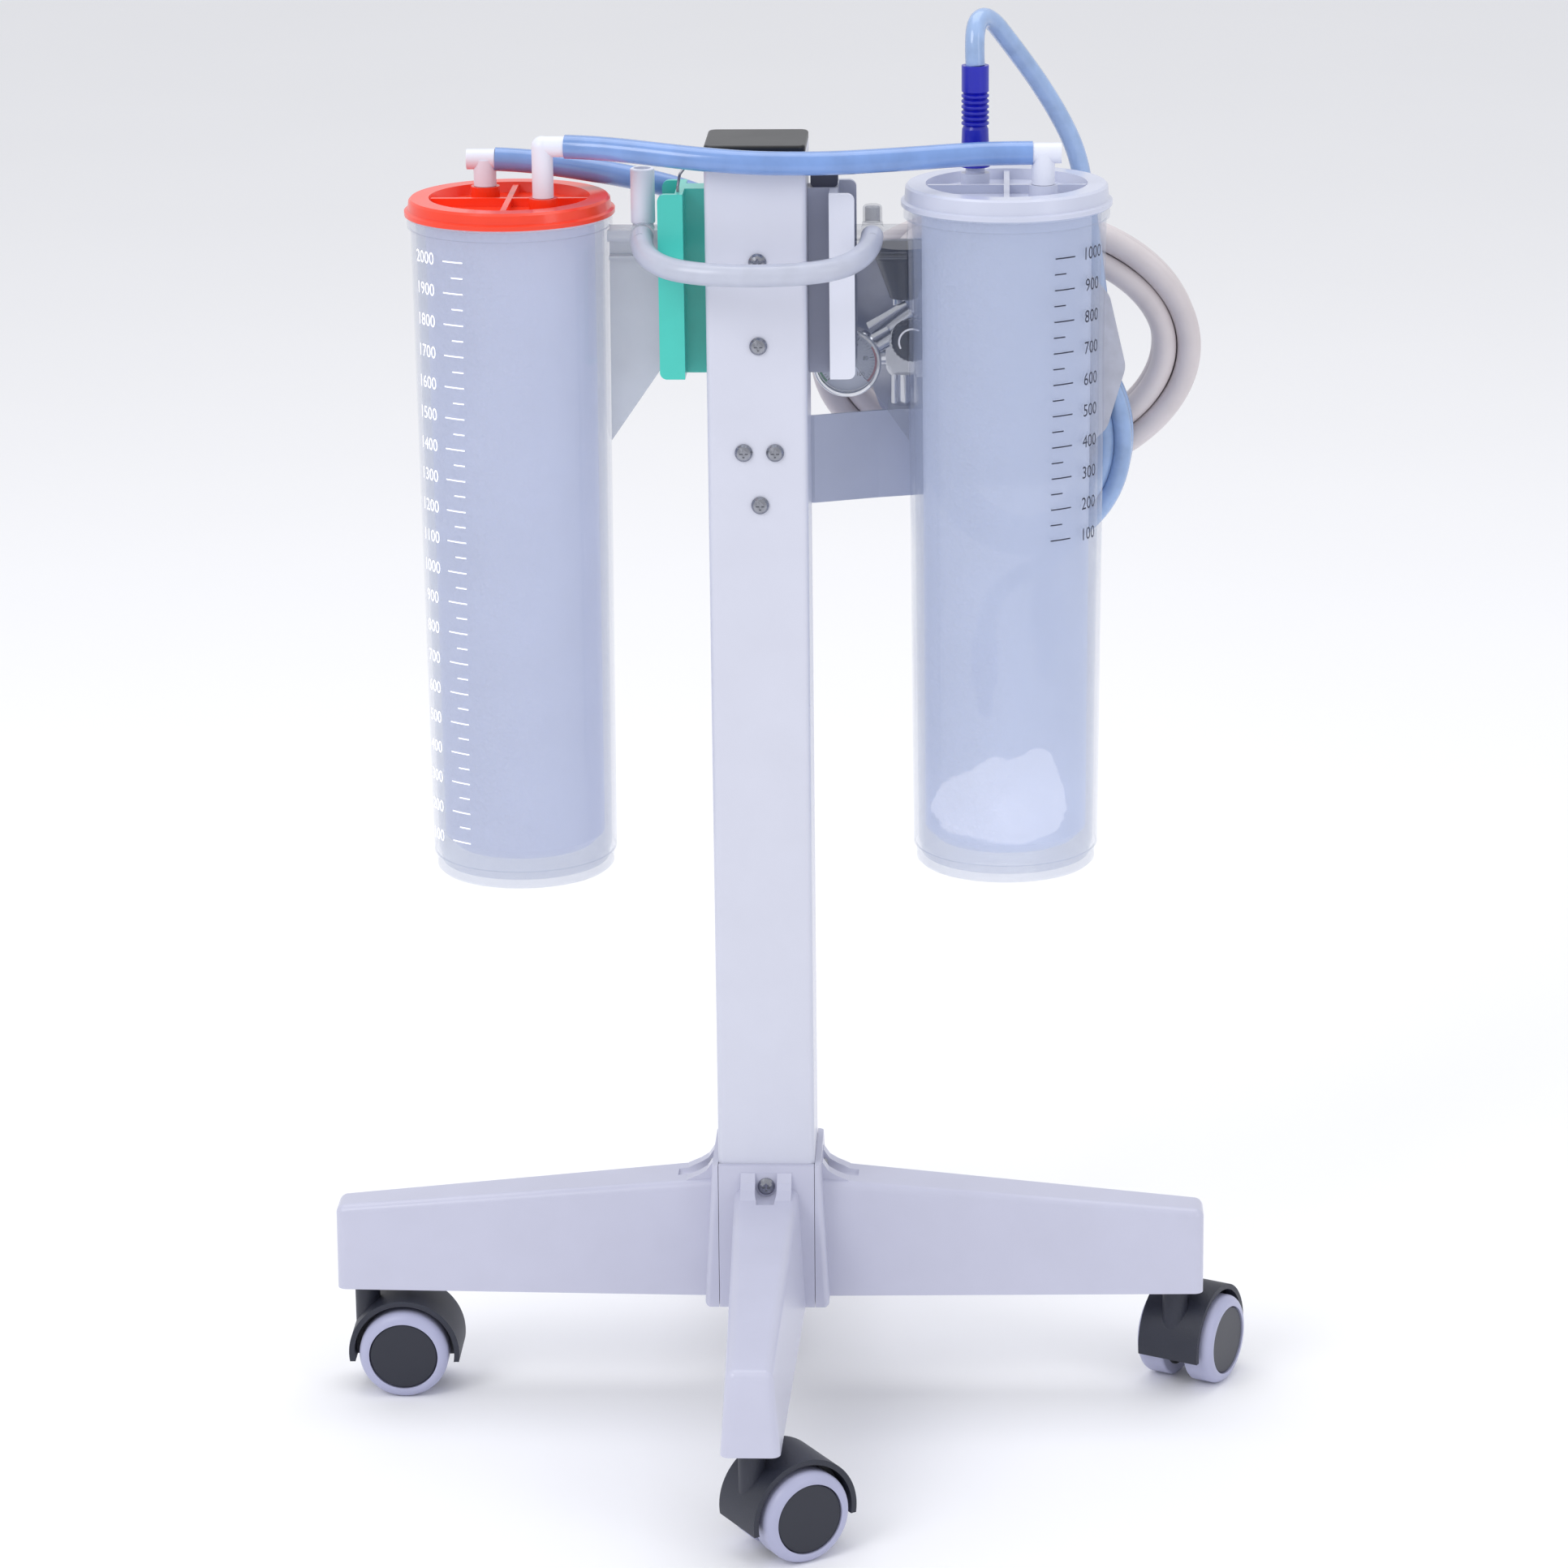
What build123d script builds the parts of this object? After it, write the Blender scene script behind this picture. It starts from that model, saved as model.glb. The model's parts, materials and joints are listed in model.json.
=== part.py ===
from build123d import *
import os
from math import cos, degrees, pi, radians, sin, tan

# Mobile suction-canister trolley.  Millimetres, +Z up, -Y is the front.
# Origin: the point on the floor under the axis of the square column.

# ---- driving dimensions -------------------------------------------------
COLUMN = 53.0            # square tube, outside
COLUMN_WALL = 2.5
COLUMN_CORNER = 3.0
COLUMN_BOTTOM = 60.0
COLUMN_TOP = 702.4
CAP_THICK = 3.6

WHEEL_R = 25.0           # 50 mm twin-wheel casters
HOOD_R = 31.0
HOOD_CAVITY_R = 28.0
HOOD_WIDTH = 36.0
WEB = 12.0               # middle wall of the hood, between the two wheels
WHEEL_OUT = 23.0         # outer face of a wheel, from the middle of the hood
WHEEL_IN = 6.5
AXLE_R = 3.0
RUNNING = 0.05           # radial clearance of a running fit
TRAIL = 21.5             # swivel axis to axle
STEM_R = 4.0
NECK_R = 7.0
LEG_REACH = 241.0        # column axis to the tip of a leg
STEM_REACH = 226.0       # column axis to a swivel axis
LEG_BOTTOM = 62.5
LEG_TIP_TOP = 110.0
LEG_ROOT_TOP = 129.5
PLATE_TOP = 142.5        # flange plates that clasp the column
PLATE_BOTTOM = 61.0
PLATE_OUT_TOP = 29.8
PLATE_OUT_BOTTOM = 34.5
SCREW_R = 2.5            # M5 pan screws
SCREW_HEAD_R = 4.7
SCREW_HEAD_H = 2.8
LEG_SCREW_Z = 131.0
SCREW_SEAT = 30.3        # flat seat for each leg's screw, from the column's axis

CANISTER_X = 131.0       # axis of each canister, left and right of the column
CANISTER_Y = 5.0
SHELL_R_TOP = 52.5
SHELL_R_BOTTOM = 49.8
SHELL_WALL = 2.6
SHELL_HEIGHT = 358.5
SHELL_BOTTOM = {"left": 306.0, "right": 310.0}
LINER_R_TOP = 44.8
LINER_R_BOTTOM = 43.4
LINER_WALL = 1.1
LINER_FLANGE = 1.3       # clamped between the shell's rim and the lid
LID_R = 53.8
LID_FLANGE_R = 55.6
LID_RISE = {"left": 8.7, "right": 11.0}   # lid above the shell's rim
FRONT_PORT = {"left": (19.6, -19.0), "right": (19.0, -19.0)}    # from the canister's axis
REAR_PORT = {"left": (-14.2, 17.0), "right": (-16.6, 17.0)}
PORT_R = 5.1

HOLDER_BOTTOM = 580.5
HOLDER_TOP = 679.0
HOLDER_OUT = 51.5
NIPPLE_X = 60.5
NIPPLE_Z = 654.5

TUBE_R = 6.25            # blue tubes
HOSE_R = 6.5             # off-white vacuum hose
LOOP_R = 6.0             # milky silicone loop
SUCTION_R = 5.15         # ribbed suction tube
BARB_R = 4.0

GAUGE = (45.5, 577.5)    # X, Z of the gauge's centre
GAUGE_R = 18.5
KNOB = (80.5, 587.5)
KNOB_R = 11.5

SUCTION_COIL = (142.5, 89.0, 525.0)
SUCTION_COIL_OUT = (60.0, 68.0)
SUCTION_COIL_IN = (36.0, 44.0)
SUCTION_COIL_DEPTH = 21.0
HOSE_COIL = (129.6, 115.0, 571.0)
HOSE_COIL_OUT = (110.0, 80.0)
HOSE_COIL_IN = (80.0, 50.0)
HOSE_COIL_DEPTH = 27.0

ARM_LOW, ARM_TOP = 503.0, 551.0
ARM_THICK = 2.0          # bent sheet that carries the regulator

LEGS = {"left": 180, "right": 0, "front": 270, "rear": 90}
CASTER_TURN = {"left": 0.0, "right": 62.7, "front": 32.7, "rear": 198.0}

os.makedirs("parts", exist_ok=True)


# ---- helpers ------------------------------------------------------------
def save(name, *solids):
    """Write one node, as one solid or as a group of separate solids."""
    shape = solids[0] if len(solids) == 1 else Compound(children=list(solids))
    export_step(shape, f"parts/{name}.step")


def rod(start, end, radius, end_radius=None):
    """A round bar, or a cone, between two points."""
    a, b = Vector(*start), Vector(*end)
    plane = Plane(origin=a, z_dir=b - a)
    length = (b - a).length
    if end_radius is None:
        return plane * Pos(0, 0, length / 2) * Cylinder(radius, length)
    return plane * Pos(0, 0, length / 2) * Cone(radius, end_radius, length)


def block(low, high):
    """A box given by its two corners."""
    size = [h - l for l, h in zip(low, high)]
    middle = [(h + l) / 2 for l, h in zip(low, high)]
    return Pos(*middle) * Box(*size)


def turned(points, at=(0, 0)):
    """A solid of revolution about a vertical axis, from an (r, z) outline."""
    face = make_face(Polyline(*[(r, 0, z) for r, z in points], close=True))
    return Pos(at[0], at[1], 0) * revolve(face, Axis.Z)


def slab(points, low, high):
    """A plan outline in X and Y, pulled from one height to another."""
    face = make_face(Polyline(*[(x, y, low) for x, y in points], close=True))
    return extrude(face, high - low)


def upright(points, front, back):
    """An outline in X and Z, pulled from the front to the back."""
    face = make_face(Polyline(*[(x, front, z) for x, z in points], close=True))
    return extrude(face, back - front, dir=(0, 1, 0))


def lofted(low, high, height_low, height_high):
    """A straight loft between two centred rectangles given as (x0, x1, y0, y1)."""
    faces = []
    for (x0, x1, y0, y1), z in ((low, height_low), (high, height_high)):
        corners = [(x0, y0, z), (x1, y0, z), (x1, y1, z), (x0, y1, z)]
        faces.append(make_face(Polyline(*corners, close=True)))
    return loft(faces, ruled=True)


def route(name, radius, points):
    """A free tube: straight runs joined by the largest arcs that the runs allow."""
    places = [Vector(*p) for p in points]
    runs = [b - a for a, b in zip(places, places[1:])]
    radii = []
    for before, after in zip(runs, runs[1:]):
        half = radians(before.get_angle(after)) / 2
        radii.append(0.45 * min(before.length, after.length) / tan(half))
    path = FilletPolyline(*places, radius=radii)
    tube = sweep(Plane(origin=path @ 0, z_dir=path % 0) * Circle(radius), path=path)
    wanted = pi * radius**2 * path.length
    print(f"{name}: length {path.length:.0f}, volume {tube.volume / wanted:.3f} of section x length,"
          f" radii {[round(r) for r in radii]}")
    return tube


# ---- casters ------------------------------------------------------------
def hood():
    """The caster's body, with the swivel axis at the origin and the axle along Y."""
    def disc(radius, y_low, y_high):
        return rod((TRAIL, y_low, WHEEL_R), (TRAIL, y_high, WHEEL_R), radius)

    neck = rod((0, 0, 30), (0, 0, 60.4), NECK_R)
    body = disc(HOOD_R, -HOOD_WIDTH / 2, HOOD_WIDTH / 2) + neck
    body -= disc(HOOD_CAVITY_R, WEB / 2, HOOD_WIDTH / 2 + 1)
    body -= disc(HOOD_CAVITY_R, -HOOD_WIDTH / 2 - 1, -WEB / 2)
    body -= block((-20, -25, -10), (70, 25, 20))
    body += disc(8, -WEB / 2, WEB / 2)
    body -= disc(AXLE_R, -WEB, WEB)
    body -= rod((0, 0, 35.5), (0, 0, 62), STEM_R + RUNNING)
    return body


def wheel(side):
    """One wheel: the rim with its hub, and the round cover on its outer face."""
    round_out, round_in = 5.0, 1.5
    outline = [
        (AXLE_R + RUNNING, 8.0), (19.0, 8.0), (19.0, WHEEL_IN), (WHEEL_R - round_in, WHEEL_IN),
    ]
    arcs_in = RadiusArc((WHEEL_R - round_in, WHEEL_IN), (WHEEL_R, WHEEL_IN + round_in), -round_in)
    arcs_out = RadiusArc((WHEEL_R, WHEEL_OUT - round_out), (WHEEL_R - round_out, WHEEL_OUT), -round_out)
    rest = [
        (WHEEL_R - round_out, WHEEL_OUT), (19.2, WHEEL_OUT), (19.2, 18.0), (AXLE_R + RUNNING, 18.0),
        (AXLE_R + RUNNING, 8.0),
    ]
    line = Polyline(*outline) + arcs_in + Line((WHEEL_R, WHEEL_IN + round_in), (WHEEL_R, WHEEL_OUT - round_out))
    line = line + arcs_out + Polyline(*rest)
    rim = revolve(Plane.XY * make_face(line), Axis.Y)
    cover = rod((0, 18.1, 0), (0, 22.4, 0), 18.9)
    cover = fillet(cover.edges().filter_by(GeomType.CIRCLE).sort_by(Axis.Y)[-1], 1.0)
    pieces = [rim, cover]
    if side < 0:
        pieces = [mirror(piece, Plane.XZ) for piece in pieces]
    return [Pos(TRAIL, 0, WHEEL_R) * piece for piece in pieces]


stems = []
for name, heading in LEGS.items():
    place = Pos(STEM_REACH * cos(radians(heading)), STEM_REACH * sin(radians(heading)), 0)
    turn = place * Rot(0, 0, CASTER_TURN[name])
    save(f"caster_hood_{name}", turn * hood())
    axle = rod((TRAIL, -17.6, WHEEL_R), (TRAIL, 17.6, WHEEL_R), AXLE_R)
    save(f"caster_axle_{name}", turn * axle)
    save(f"wheel_{name}_a", *[turn * piece for piece in wheel(-1)])
    save(f"wheel_{name}_b", *[turn * piece for piece in wheel(1)])
    collar = rod((0, 0, 60.7), (0, 0, LEG_BOTTOM), 6.5)
    stems.append(place * (rod((0, 0, 36), (0, 0, 92), STEM_R) + collar))
save("caster_stems", *stems)


# ---- legs and column ----------------------------------------------------
def leg(wide):
    """One moulded leg along +X, with the flange plate that clasps a face of the column."""
    half_top = PLATE_OUT_TOP if wide else COLUMN / 2 - 0.2
    half_bottom = PLATE_OUT_BOTTOM if wide else COLUMN / 2 - 0.2
    inner = COLUMN / 2 + 0.1
    plate = lofted(
        (inner, PLATE_OUT_BOTTOM, -half_bottom, half_bottom),
        (inner, PLATE_OUT_TOP, -half_top, half_top),
        PLATE_BOTTOM, PLATE_TOP,
    )
    if wide:
        outer = plate.edges().filter_by(lambda e: e.center().X > 30 and e.length > 60)
        plate = fillet(outer, 3.0)

    def arm(x0, x1, foot0, foot1, head0, head1, low, top0, top1):
        faces = []
        for x, foot, head, top in ((x0, foot0, head0, top0), (x1, foot1, head1, top1)):
            corners = [(x, -foot, low), (x, foot, low), (x, head, top), (x, -head, top)]
            faces.append(make_face(Polyline(*corners, close=True)))
        return loft(faces, ruled=True)

    body = arm(inner + 1, LEG_REACH, 21.5, 15.5, 17.5, 12.0, LEG_BOTTOM, LEG_ROOT_TOP, LEG_TIP_TOP)
    long_top = body.edges().filter_by(lambda e: e.length > 150 and e.center().Z > 90)
    tip = body.edges().filter_by(lambda e: e.center().X > 230 and e.center().Z > 70)
    body = fillet(long_top + tip, 5.0)
    ramp = upright([(inner + 1, 110), (49, 110), (45, LEG_ROOT_TOP - 1.6), (38, 131),
                    (33.7, 133.7), (30.5, 138.5), (inner + 1, 138.5)], -14, 14)
    body = body + plate + ramp
    body -= arm(36, 205, 18.2, 12.6, 13.0, 8.5, LEG_BOTTOM - 1, LEG_ROOT_TOP - 4.5, LEG_TIP_TOP - 3.0)
    notch = rod((SCREW_SEAT, 0, LEG_SCREW_Z), (50, 0, LEG_SCREW_Z), 6.0)
    notch += block((SCREW_SEAT, -6, LEG_SCREW_Z), (50, 6, 150))
    body -= notch
    body -= rod((20, 0, LEG_SCREW_Z), (40, 0, LEG_SCREW_Z), SCREW_R + 0.1)
    body -= rod((STEM_REACH, 0, 50), (STEM_REACH, 0, 93), STEM_R)
    return body


def pan_screw():
    """An M5 pan-head screw along +X, its head's underside at the origin."""
    outline = [(0, -9), (SCREW_R, -9), (SCREW_R, 0), (SCREW_HEAD_R, 0), (SCREW_HEAD_R, 1.0),
               (3.6, 2.2), (1.9, SCREW_HEAD_H), (0, SCREW_HEAD_H)]
    screw = revolve(make_face(Polyline(*[(r, 0, z) for r, z in outline], close=True)), Axis.Z)
    screw -= Pos(0, 0, SCREW_HEAD_H) * Box(4.6, 1.1, 2.6)
    screw -= Pos(0, 0, SCREW_HEAD_H) * Box(1.1, 4.6, 2.6)
    return Rot(0, 90, 0) * screw


for name, heading in LEGS.items():
    save(f"leg_{name}", Rot(0, 0, heading) * leg(name in ("left", "right")))

section = RectangleRounded(COLUMN, COLUMN, COLUMN_CORNER)
bore = RectangleRounded(COLUMN - 2 * COLUMN_WALL, COLUMN - 2 * COLUMN_WALL, 1.0)
column = Pos(0, 0, COLUMN_BOTTOM) * extrude(section - bore, COLUMN_TOP - COLUMN_BOTTOM)

ARM_SCREWS = [(-12, 514), (12, 514), (-12, 540), (12, 540)]
FRONT_SCREWS = [(1, 644.7), (1, 600.2), (-7.4, 542.9), (9.2, 542.9), (1, 514.5)]
screws = []
for heading in LEGS.values():
    screws.append(Rot(0, 0, heading) * Pos(SCREW_SEAT, 0, LEG_SCREW_Z) * pan_screw())
    column -= Rot(0, 0, heading) * rod((20, 0, LEG_SCREW_Z), (30, 0, LEG_SCREW_Z), SCREW_R + 0.1)
for x, z in FRONT_SCREWS:
    screws.append(Pos(x, -COLUMN / 2, z) * Rot(0, 0, -90) * pan_screw())
    column -= rod((x, -20, z), (x, -30, z), SCREW_R + 0.1)
for x, z in ARM_SCREWS:
    screws.append(Pos(x, COLUMN / 2 + ARM_THICK, z) * Rot(0, 0, 90) * pan_screw())
    column -= rod((x, 20, z), (x, 30, z), SCREW_R + 0.1)
save("column", column)
save("pan_screws", *screws)

cap = Pos(0, 0, COLUMN_TOP) * extrude(RectangleRounded(COLUMN, COLUMN, 4.5), CAP_THICK)
cap = fillet(cap.edges().group_by(Axis.Z)[-1], 1.4)
plug_side = COLUMN - 2 * COLUMN_WALL - 0.4
plug = extrude(RectangleRounded(plug_side, plug_side, 1.4), 14)
save("column_cap", cap + Pos(0, 0, COLUMN_TOP - 14) * plug)

# ---- canister holders ---------------------------------------------------
CHANNEL_FRONT, CHANNEL_REAR = -14.5, 24.5
FLANGE = 3.5


def holder():
    """A channel on the right face of the column; the canister's foot slides down into it."""
    front, rear = CHANNEL_FRONT - FLANGE, CHANNEL_REAR + FLANGE
    outline = [
        (COLUMN / 2 + 0.1, 0), (38.2, 0), (38.2, front), (HOLDER_OUT, front), (HOLDER_OUT, CHANNEL_FRONT),
        (42.5, CHANNEL_FRONT), (42.5, CHANNEL_REAR), (HOLDER_OUT, CHANNEL_REAR), (HOLDER_OUT, rear),
        (38.2, rear), (38.2, 16), (COLUMN / 2 + 0.1, 16),
    ]
    body = slab(outline, HOLDER_BOTTOM, HOLDER_TOP)
    corners = body.edges().filter_by(Axis.Y).filter_by(lambda e: e.center().X > HOLDER_OUT - 0.1)
    body = fillet(corners, 3.8)
    floor = block((42.4, CHANNEL_FRONT - 0.1, HOLDER_BOTTOM), (HOLDER_OUT - 3, CHANNEL_REAR + 0.1, HOLDER_BOTTOM + 3))
    return body + floor


def canister_bracket(side):
    """The clear foot, web and nipples on the side of a canister, drawn for the right side."""
    shift = SHELL_BOTTOM[side] - SHELL_BOTTOM["left"]
    foot = block((42.5, CHANNEL_FRONT + 0.5, 583.5), (46.0, CHANNEL_REAR - 0.5, 657.5))
    web = upright([(45, 583.9), (49, 583.9), (52, 582), (84, 536), (84, 657.5), (45, 657.5)], 3.5, 6.5)
    top = block((45, -3.5, 651.5), (84, 13.5, 657.5))
    rib = upright([(52, 641), (84, 641), (84, 643), (52, 643)], 0.5, 9.5)
    nipple = rod((NIPPLE_X, 5, 648), (NIPPLE_X, 5, 660), 5.6)
    nipple += rod((NIPPLE_X, 5, 660), (NIPPLE_X, 5, 668), BARB_R)
    spout = rod((NIPPLE_X, 5, NIPPLE_Z), (NIPPLE_X, -5, NIPPLE_Z), 6.8)
    spout += rod((NIPPLE_X, -5, NIPPLE_Z), (NIPPLE_X, -18, NIPPLE_Z), BARB_R)
    body = foot + web + top + rib + nipple + spout
    taper = [(0, 520), (shell_radius(520 - shift) + 0.15, 520), (shell_radius(690 - shift) + 0.15, 690), (0, 690)]
    return body - turned(taper, (CANISTER_X, CANISTER_Y))


def shell_radius(z):
    """Outside radius of a canister's shell at a height, for the left one's heights."""
    low = SHELL_BOTTOM["left"] + 10
    high = SHELL_BOTTOM["left"] + SHELL_HEIGHT - 5
    return SHELL_R_BOTTOM + (SHELL_R_TOP - SHELL_R_BOTTOM) * (z - low) / (high - low)


save("right_holder", holder())
save("left_holder", mirror(holder(), Plane.YZ))
save("holder_latch", fillet(block((28, 3, HOLDER_TOP), (42.4, 15, 687)).edges().filter_by(Axis.Y), 2.5))
clip = FilletPolyline((-41, -10, 668), (-41, -10, 682), (-40, -8, 688), (-37, -4, 691.5), radius=2.5)
wire = sweep(Plane(origin=clip @ 0, z_dir=clip % 0) * Circle(0.75), path=clip)
save("wire_clip", wire)
save("right_bracket", canister_bracket("right"))
save("left_bracket", mirror(canister_bracket("left"), Plane.YZ))


# ---- canisters ----------------------------------------------------------
def shell(base):
    """The clear outer jar, open at the top."""
    rim = base + SHELL_HEIGHT
    outline = [
        (0, base), (46.6, base), (48.2, base + 1.6), (48.5, base + 10), (SHELL_R_BOTTOM, base + 10),
        (SHELL_R_TOP, rim - 5), (54.3, rim - 5), (54.3, rim), (SHELL_R_TOP - SHELL_WALL, rim),
        (SHELL_R_BOTTOM - SHELL_WALL, base + 12), (45.4, base + 4.5), (0, base + 4.5),
    ]
    return turned(outline)


def liner(base):
    """The frosted liner that hangs in the jar from its flange."""
    rim = base + SHELL_HEIGHT
    outline = [
        (0, base + 14), (38, base + 14), (LINER_R_BOTTOM, base + 19.5), (LINER_R_TOP, rim), (53.6, rim),
        (53.6, rim + LINER_FLANGE), (LINER_R_TOP - LINER_WALL, rim + LINER_FLANGE), (LINER_R_BOTTOM - LINER_WALL, base + 20),
        (37.6, base + 15.1), (0, base + 15.1),
    ]
    return turned(outline)


def lid(side):
    """A lid with a raised rim, a sunken middle, two webs and two ports."""
    seat = SHELL_BOTTOM[side] + SHELL_HEIGHT + LINER_FLANGE
    top = seat + LID_RISE[side]
    sink = top - 5.5
    outline = [
        (0, seat), (LID_FLANGE_R, seat), (LID_FLANGE_R, seat + 2.2), (LID_R, seat + 3.0), (LID_R - 0.6, top - 1.2),
        (LID_R - 1.8, top), (42.5, top), (41.0, sink), (0, sink),
    ]
    body = turned(outline)
    body += block((-41.5, -1.5, sink), (41.5, 1.5, top - 1))
    body += block((-1.5, -41.5, sink), (1.5, 41.5, top - 1))
    for x, y in (FRONT_PORT[side], REAR_PORT[side]):
        body += rod((x, y, sink), (x, y, top + 2.5), 7.6)
        body += rod((x, y, top + 2.5), (x, y, top + 9), PORT_R)
        body -= rod((x, y, seat - 1), (x, y, top + 10), 3.2)
    return body


for side, sign in (("left", -1), ("right", 1)):
    place = Pos(sign * CANISTER_X, CANISTER_Y, 0)
    save(f"{side}_canister", place * shell(SHELL_BOTTOM[side]))
    save(f"{side}_liner", place * liner(SHELL_BOTTOM[side]))
    save(f"{side}_lid", place * lid(side))


# ---- fittings on the lids ----------------------------------------------
def port(side, which):
    """The place of a lid's port, and the height of its shoulder."""
    x, y = which[side]
    sign = -1 if side == "left" else 1
    top = SHELL_BOTTOM[side] + SHELL_HEIGHT + LINER_FLANGE + LID_RISE[side]
    return sign * CANISTER_X + x, CANISTER_Y + y, top + 2.5


def tee(side, which, run_height, barb_towards):
    """A tee pushed over a port: one free socket end and one barb for a tube."""
    x, y, low = port(side, which)
    free = x - barb_towards * 9.5
    neck = x + barb_towards * 5.5
    body = rod((x, y, low + 0.2), (x, y, run_height), 6.0)
    body += rod((free, y, run_height), (neck, y, run_height), 5.4)
    body += rod((neck, y, run_height), (x + barb_towards * 21, y, run_height), BARB_R)
    body -= rod((x, y, low - 1), (x, y, low + 7.0), PORT_R + 0.05)
    body -= rod((x, y, low), (x, y, run_height), 2.8)
    body -= rod((free, y, run_height), (free + barb_towards * 6.4, y, run_height), 4.0)
    body -= rod((free, y, run_height), (x + barb_towards * 22, y, run_height), 2.6)
    return body


ELBOW_Z, LEFT_RUN_Z, RIGHT_RUN_Z = 703.8, 691.2, 699.6
save("left_tee", tee("left", REAR_PORT, LEFT_RUN_Z, 1))
save("right_tee", tee("right", FRONT_PORT, RIGHT_RUN_Z, -1))

x, y, low = port("left", FRONT_PORT)
elbow = rod((x, y, low + 0.2), (x, y, ELBOW_Z), 5.6) + Pos(x, y, ELBOW_Z) * Sphere(5.6)
elbow += rod((x, y, ELBOW_Z), (x + 12, y, ELBOW_Z), 5.4)
elbow += rod((x + 12, y, ELBOW_Z), (x + 26, y, ELBOW_Z), BARB_R)
elbow -= rod((x, y, low - 1), (x, y, low + 7.0), PORT_R + 0.05)
elbow -= rod((x, y, low), (x, y, ELBOW_Z), 2.8)
elbow -= rod((x, y, ELBOW_Z), (x + 27, y, ELBOW_Z), 2.6)
save("left_elbow", elbow)

px, py, plow = port("right", REAR_PORT)
PATIENT_LOW, PATIENT_TOP = 686.5, 740.0
ribs = [(7.8, PATIENT_LOW), (7.0, PATIENT_LOW + 20)]
for i in range(6):
    z = PATIENT_LOW + 21.5 + 2.9 * i
    ribs += [(6.2, z), (7.3, z + 1.0), (7.3, z + 1.9)]
ribs += [(6.2, PATIENT_LOW + 38.8), (7.2, PATIENT_LOW + 39.8), (7.2, PATIENT_TOP)]
bellows = turned(ribs + [(4.4, PATIENT_TOP), (4.4, PATIENT_TOP - 12), (3.2, PATIENT_TOP - 12),
                         (3.2, PATIENT_LOW + 9), (5.2, PATIENT_LOW + 8), (5.2, PATIENT_LOW)], (px, py))
save("patient_connector", bellows)

sleeve = rod((-NIPPLE_X, 5, 660.1), (-NIPPLE_X, 5, 689.2), 6.4)
sleeve = fillet(sleeve.edges().filter_by(GeomType.CIRCLE), 0.8)
sleeve -= rod((-NIPPLE_X, 5, 660), (-NIPPLE_X, 5, 669), BARB_R)
sleeve -= rod((-NIPPLE_X, 5, 674), (-NIPPLE_X, 5, 690), 4.5)
save("loop_connector", sleeve)
dust_cap = rod((NIPPLE_X, 5, 660.1), (NIPPLE_X, 5, 669.5), 5.2)
dust_cap = fillet(dust_cap.edges().group_by(Axis.Z)[-1], 2.0)
save("bracket_cap", dust_cap - rod((NIPPLE_X, 5, 660), (NIPPLE_X, 5, 668.2), BARB_R))

# ---- regulator and its arm ---------------------------------------------
BODY_FRONT, BODY_REAR = 54.0, 66.0
CONE_X, CONE_Y = 76.0, 58.0
OUTLET_Z = 628.0
kx, kz = KNOB
gx, gz = GAUGE
INLET_X = 52.0           # where the blue tube meets the regulator, behind the gauge
body = fillet(block((66, BODY_FRONT, 566), (94, BODY_REAR, 600)).edges().filter_by(Axis.Y), 7.0)
body += rod((CONE_X, CONE_Y, 598), (CONE_X, CONE_Y, 609), 6.5)
body += rod((CONE_X, CONE_Y, ARM_TOP), (CONE_X, CONE_Y, 568), 7.5)
body += rod((59.5, 54, 590), (80, 54, 603), 7.2)
body += rod((gx + 15.5, 46, gz + 9), (gx + 24, 46, gz + 13.9), 5.4)
body += rod((67, 60, gz), (INLET_X, 60, gz), 6.0) + rod((INLET_X, 60, gz), (INLET_X - 12, 60, gz), BARB_R)
body -= rod((kx, 36, kz), (kx, 53.2, kz), KNOB_R + 0.8)
body -= rod((kx, 36, kz), (kx, BODY_FRONT + 6, kz), 3.0 + RUNNING)
save("regulator_body", body)

KNOB_FRONT, KNOB_BACK = 43.2, 52.5
knob = rod((kx, KNOB_FRONT, kz), (kx, KNOB_BACK, kz), KNOB_R)
knob = fillet(knob.edges().filter_by(GeomType.CIRCLE).sort_by(Axis.Y)[0], 1.5)
knob += rod((kx, KNOB_BACK - 0.5, kz), (kx, BODY_FRONT + 5, kz), 3.0)
save("regulator_knob", knob)

adaptor = rod((CONE_X, CONE_Y, 609), (CONE_X, CONE_Y, 631), 7.5, 15.6)
adaptor += rod((CONE_X, CONE_Y, 631), (CONE_X, CONE_Y, 638), 15.6)
adaptor += rod((CONE_X, CONE_Y, OUTLET_Z), (CONE_X, 79, OUTLET_Z), 6.5)
adaptor += rod((CONE_X, 79, OUTLET_Z), (CONE_X, 92, OUTLET_Z), BARB_R)
save("regulator_adaptor", adaptor)

case = rod((gx, 36, gz), (gx, 49, gz), GAUGE_R)
case = fillet(case.edges().filter_by(GeomType.CIRCLE).sort_by(Axis.Y)[0], 1.0)
case -= rod((gx, 35, gz), (gx, 42, gz), GAUGE_R - 2.0)
case += rod((gx, 42, gz), (gx, 42.8, gz), GAUGE_R - 2.2)
case -= rod((gx, 40, gz), (gx, 46, gz), 1.0 + RUNNING)
save("gauge_case", case)
save("gauge_lens", rod((gx, 36.8, gz), (gx, 38.2, gz), GAUGE_R - 2.1))
NEEDLE_ANGLE = 205.0
pointer = upright([(-4.5, -0.9), (12.5, -0.25), (12.5, 0.25), (-4.5, 0.9)], 40.6, 41.1)
pointer += rod((0, 40.0, 0), (0, 41.4, 0), 1.8) + rod((0, 41, 0), (0, 44, 0), 1.0)
save("gauge_needle", Pos(gx, 0, gz) * Rot(0, -NEEDLE_ANGLE, 0) * pointer)


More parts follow.
